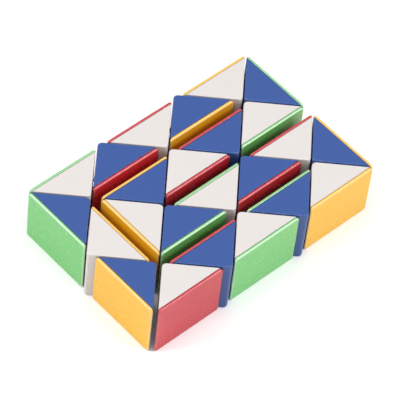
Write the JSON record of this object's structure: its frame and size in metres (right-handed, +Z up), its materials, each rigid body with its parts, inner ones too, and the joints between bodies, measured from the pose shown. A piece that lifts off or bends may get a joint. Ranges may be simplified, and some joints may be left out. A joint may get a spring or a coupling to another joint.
{
  "type": "twisty snake puzzle",
  "caption": "Chain of blue and white plastic wedges with coloured caps, joined by sprung turning faces and folded flat into a rectangle.",
  "frame": {"origin": "centre of the folded rectangle's bounding box, on the flat face it lies on", "axes": "+X along the rectangle's long side, away from the end where a right-angle edge stands out, +Y along its short side, +Z up through its thickness"},
  "size_m": [0.0828, 0.0554, 0.0185],
  "materials": {
    "shell_blue": "satin blue ABS",
    "shell_white": "satin white ABS",
    "cap_yellow": "satin warm yellow ABS",
    "cap_green": "satin light green ABS",
    "cap_red": "satin red ABS",
    "steel": "plated steel"
  },
  "bodies": {
    "wedge_01": {"wedge_01_shell": "shell_blue", "wedge_01_cap": "cap_yellow", "wedge_01_screw_set": "steel"},
    "wedge_02": {"wedge_02_shell": "shell_white", "wedge_02_cap": "cap_yellow"},
    "wedge_03": {"wedge_03_shell": "shell_blue", "wedge_03_cap": "cap_green", "wedge_03_screw_set": "steel"},
    "wedge_04": {"wedge_04_shell": "shell_white", "wedge_04_cap": "cap_green"},
    "wedge_05": {"wedge_05_shell": "shell_blue", "wedge_05_cap": "cap_red", "wedge_05_screw_set": "steel"},
    "wedge_06": {"wedge_06_shell": "shell_white", "wedge_06_cap": "cap_red"},
    "wedge_07": {"wedge_07_shell": "shell_blue", "wedge_07_cap": "cap_yellow", "wedge_07_screw_set": "steel"},
    "wedge_08": {"wedge_08_shell": "shell_white", "wedge_08_cap": "cap_yellow"},
    "wedge_09": {"wedge_09_shell": "shell_blue", "wedge_09_cap": "cap_green", "wedge_09_screw_set": "steel"},
    "wedge_10": {"wedge_10_shell": "shell_white", "wedge_10_cap": "cap_green"},
    "wedge_11": {"wedge_11_shell": "shell_blue", "wedge_11_cap": "cap_red", "wedge_11_screw_set": "steel"},
    "wedge_12": {"wedge_12_shell": "shell_white", "wedge_12_cap": "cap_red"},
    "wedge_13": {"wedge_13_shell": "shell_blue", "wedge_13_cap": "cap_yellow", "wedge_13_screw_set": "steel"},
    "wedge_14": {"wedge_14_shell": "shell_white", "wedge_14_cap": "cap_yellow"},
    "wedge_15": {"wedge_15_shell": "shell_blue", "wedge_15_cap": "cap_green", "wedge_15_screw_set": "steel"},
    "wedge_16": {"wedge_16_shell": "shell_white", "wedge_16_cap": "cap_green"},
    "wedge_17": {"wedge_17_shell": "shell_blue", "wedge_17_cap": "cap_red", "wedge_17_screw_set": "steel"},
    "wedge_18": {"wedge_18_shell": "shell_white", "wedge_18_cap": "cap_red"},
    "wedge_19": {"wedge_19_shell": "shell_blue", "wedge_19_cap": "cap_yellow", "wedge_19_screw_set": "steel"},
    "wedge_20": {"wedge_20_shell": "shell_white", "wedge_20_cap": "cap_yellow"},
    "wedge_21": {"wedge_21_shell": "shell_blue", "wedge_21_cap": "cap_green", "wedge_21_screw_set": "steel"},
    "wedge_22": {"wedge_22_shell": "shell_white", "wedge_22_cap": "cap_green"},
    "wedge_23": {"wedge_23_shell": "shell_blue", "wedge_23_cap": "cap_red", "wedge_23_screw_set": "steel"},
    "wedge_24": {"wedge_24_shell": "shell_white", "wedge_24_cap": "cap_red"}
  },
  "joints": [
    {"name": "turn_01", "type": "hinge", "parent": "wedge_02", "child": "wedge_01", "pos_m": [-0.03494, -0.00707, 0.00925], "axis": [-0.7071, -0.7071, 0], "range_deg": [-9, 9]},
    {"name": "turn_02", "type": "hinge", "parent": "wedge_03", "child": "wedge_02", "pos_m": [-0.03494, 0.00707, 0.00925], "axis": [0.7071, -0.7071, 0], "range_deg": [-25, 25]},
    {"name": "turn_03", "type": "hinge", "parent": "wedge_04", "child": "wedge_03", "pos_m": [-0.03494, 0.02121, 0.00925], "axis": [-0.7071, -0.7071, 0], "continuous": true},
    {"name": "turn_04", "type": "hinge", "parent": "wedge_05", "child": "wedge_04", "pos_m": [-0.0208, 0.02121, 0.00925], "axis": [0.7071, -0.7071, 0], "continuous": true},
    {"name": "turn_05", "type": "hinge", "parent": "wedge_06", "child": "wedge_05", "pos_m": [-0.00665, 0.02121, 0.00925], "axis": [-0.7071, -0.7071, 0], "range_deg": [-9, 9]},
    {"name": "turn_06", "type": "hinge", "parent": "wedge_07", "child": "wedge_06", "pos_m": [0.00749, 0.02121, 0.00925], "axis": [-0.7071, 0.7071, 0], "continuous": true},
    {"name": "turn_07", "type": "hinge", "parent": "wedge_08", "child": "wedge_07", "pos_m": [0.02163, 0.02121, 0.00925], "axis": [0.7071, 0.7071, 0], "range_deg": [-9, 9]},
    {"name": "turn_08", "type": "hinge", "parent": "wedge_09", "child": "wedge_08", "pos_m": [0.03577, 0.02121, 0.00925], "axis": [0.7071, -0.7071, 0], "continuous": true},
    {"name": "turn_09", "type": "hinge", "parent": "wedge_10", "child": "wedge_09", "pos_m": [0.03577, 0.00707, 0.00925], "axis": [0.7071, 0.7071, 0], "continuous": true},
    {"name": "turn_10", "type": "hinge", "parent": "wedge_11", "child": "wedge_10", "pos_m": [0.02163, 0.00707, 0.00925], "axis": [-0.7071, 0.7071, 0], "range_deg": [-22, 22]},
    {"name": "turn_11", "type": "hinge", "parent": "wedge_12", "child": "wedge_11", "pos_m": [0.00749, 0.00707, 0.00925], "axis": [0.7071, 0.7071, 0], "range_deg": [-9, 9]},
    {"name": "turn_12", "type": "hinge", "parent": "wedge_12", "child": "wedge_13", "pos_m": [-0.00665, 0.00707, 0.00925], "axis": [0.7071, -0.7071, 0], "range_deg": [-25, 25]},
    {"name": "turn_13", "type": "hinge", "parent": "wedge_13", "child": "wedge_14", "pos_m": [-0.0208, 0.00707, 0.00925], "axis": [0.7071, 0.7071, 0], "range_deg": [-9, 9]},
    {"name": "turn_14", "type": "hinge", "parent": "wedge_14", "child": "wedge_15", "pos_m": [-0.0208, -0.00707, 0.00925], "axis": [-0.7071, 0.7071, 0], "range_deg": [-90, 90]},
    {"name": "turn_15", "type": "hinge", "parent": "wedge_15", "child": "wedge_16", "pos_m": [-0.00665, -0.00707, 0.00925], "axis": [0.7071, 0.7071, 0], "range_deg": [-9, 9]},
    {"name": "turn_16", "type": "hinge", "parent": "wedge_16", "child": "wedge_17", "pos_m": [0.00749, -0.00707, 0.00925], "axis": [-0.7071, 0.7071, 0], "range_deg": [-90, 90]},
    {"name": "turn_17", "type": "hinge", "parent": "wedge_17", "child": "wedge_18", "pos_m": [0.02163, -0.00707, 0.00925], "axis": [0.7071, 0.7071, 0], "range_deg": [-22, 22]},
    {"name": "turn_18", "type": "hinge", "parent": "wedge_18", "child": "wedge_19", "pos_m": [0.03577, -0.00707, 0.00925], "axis": [-0.7071, 0.7071, 0], "continuous": true},
    {"name": "turn_19", "type": "hinge", "parent": "wedge_19", "child": "wedge_20", "pos_m": [0.03577, -0.02121, 0.00925], "axis": [0.7071, 0.7071, 0], "continuous": true},
    {"name": "turn_20", "type": "hinge", "parent": "wedge_20", "child": "wedge_21", "pos_m": [0.02163, -0.02121, 0.00925], "axis": [-0.7071, 0.7071, 0], "range_deg": [-22, 22]},
    {"name": "turn_21", "type": "hinge", "parent": "wedge_21", "child": "wedge_22", "pos_m": [0.00749, -0.02121, 0.00925], "axis": [0.7071, 0.7071, 0], "continuous": true},
    {"name": "turn_22", "type": "hinge", "parent": "wedge_22", "child": "wedge_23", "pos_m": [-0.00665, -0.02121, 0.00925], "axis": [-0.7071, 0.7071, 0], "range_deg": [-25, 25]},
    {"name": "turn_23", "type": "hinge", "parent": "wedge_23", "child": "wedge_24", "pos_m": [-0.0208, -0.02121, 0.00925], "axis": [-0.7071, -0.7071, 0], "range_deg": [-9, 9]}
  ]
}
